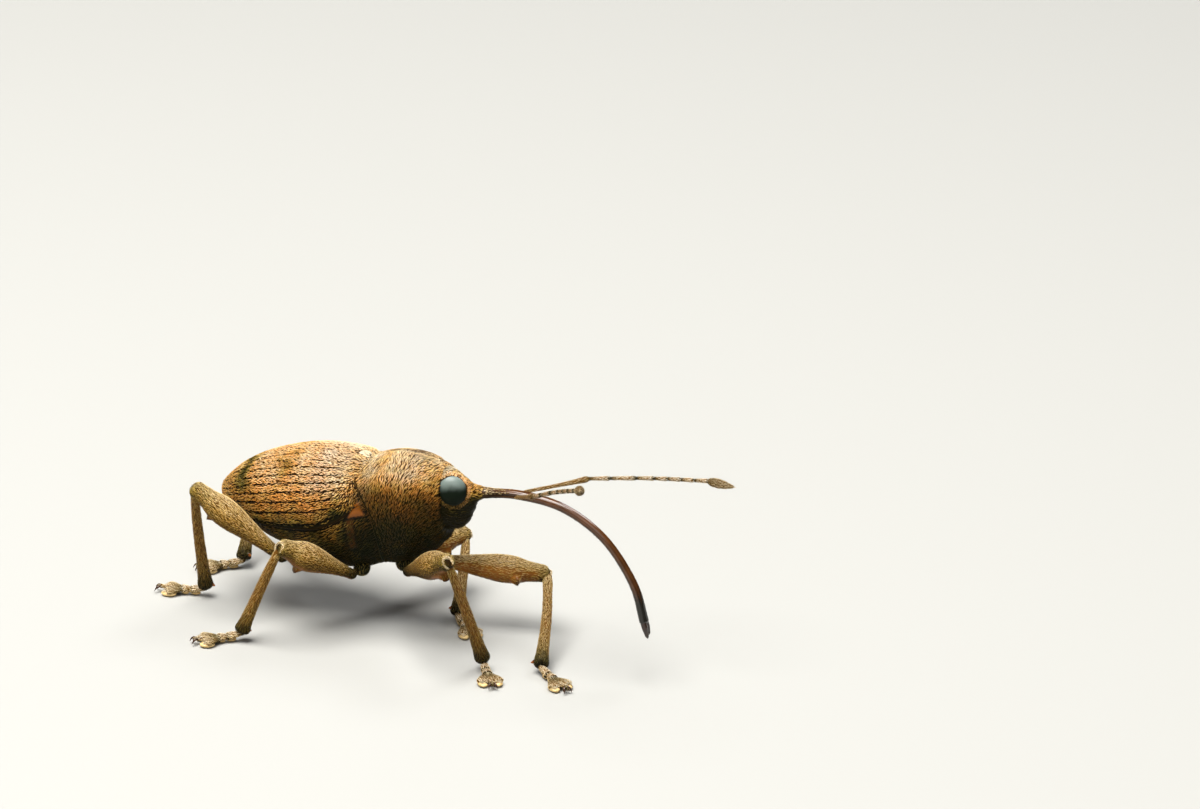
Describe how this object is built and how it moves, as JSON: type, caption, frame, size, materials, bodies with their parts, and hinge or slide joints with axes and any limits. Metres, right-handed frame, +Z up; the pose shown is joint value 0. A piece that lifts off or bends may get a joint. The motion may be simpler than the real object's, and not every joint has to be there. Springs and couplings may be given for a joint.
{
  "type": "nut weevil",
  "caption": "Life-size still model of a long-snouted nut weevil standing on six clubbed, toothed legs, its curved snout and elbowed feelers held out in front.",
  "frame": {"origin": "on the floor, under the middle of the whole model's box, feelers and feet included", "axes": "+X forward along the body towards the snout, +Y to the animal's left, +Z up; the six feet rest on the plane z = 0"},
  "size_m": [0.0169, 0.0084, 0.0079],
  "materials": {
    "wing": "fine scales in rows between dark grooves",
    "shell": "fine scales lying in swirls",
    "belly": "dark with thin scales",
    "shield": "dense cream scales",
    "eye": "dark gloss with fine facets",
    "snout": "polished chestnut",
    "feeler": "pale with short hairs",
    "leg": "tan scales over orange shell",
    "foot": "short pale hair with cream pads"
  },
  "bodies": {
    "root": {"head": "shell", "eye_left": "eye", "eye_right": "eye", "rostrum_base": "snout", "rostrum_middle": "snout", "rostrum_tip": "snout", "antenna_left_scape": "feeler", "antenna_left_funicle": "feeler", "antenna_left_club": "feeler", "antenna_right_scape": "feeler", "antenna_right_funicle": "feeler", "antenna_right_club": "feeler", "prothorax": "shell", "elytron_left": "wing", "elytron_right": "wing", "scutellum": "shield", "thorax": "belly", "abdomen": "belly", "leg_front_left_femur": "leg", "leg_front_left_tibia": "leg", "leg_front_left_tarsus": "foot", "leg_front_right_femur": "leg", "leg_front_right_tibia": "leg", "leg_front_right_tarsus": "foot", "leg_middle_left_femur": "leg", "leg_middle_left_tibia": "leg", "leg_middle_left_tarsus": "foot", "leg_middle_right_femur": "leg", "leg_middle_right_tibia": "leg", "leg_middle_right_tarsus": "foot", "leg_hind_left_femur": "leg", "leg_hind_left_tibia": "leg", "leg_hind_left_tarsus": "foot", "leg_hind_right_femur": "leg", "leg_hind_right_tibia": "leg", "leg_hind_right_tarsus": "foot"}
  },
  "joints": []
}
